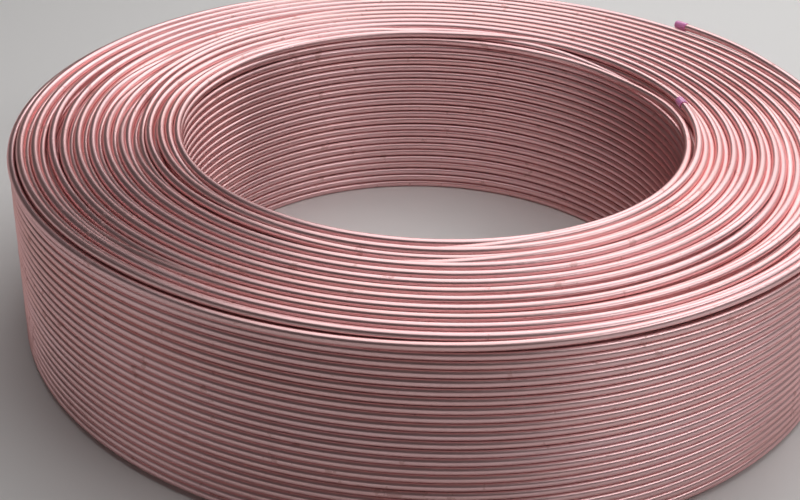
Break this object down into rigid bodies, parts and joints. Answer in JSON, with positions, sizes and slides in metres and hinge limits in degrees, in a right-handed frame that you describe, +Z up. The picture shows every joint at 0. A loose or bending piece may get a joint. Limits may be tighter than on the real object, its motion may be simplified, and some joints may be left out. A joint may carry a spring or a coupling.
{
  "type": "copper tube coil",
  "caption": "Level-wound coil of thin soft copper tube with a wide round bore, lying flat, its two tube ends closed with small plastic caps.",
  "frame": {"origin": "on the coil's axis, at the floor it lies on", "axes": "+Z up along the coil's axis; the camera of the picture looks along +Y"},
  "size_m": [1.0082, 1.0082, 0.2509],
  "materials": {
    "copper": "satin drawn copper, lightly dusky",
    "cap": "soft pink plastic"
  },
  "bodies": {
    "root": {"tube_coil": "copper", "outer_end_cap": "cap", "inner_end_cap": "cap"}
  },
  "joints": []
}
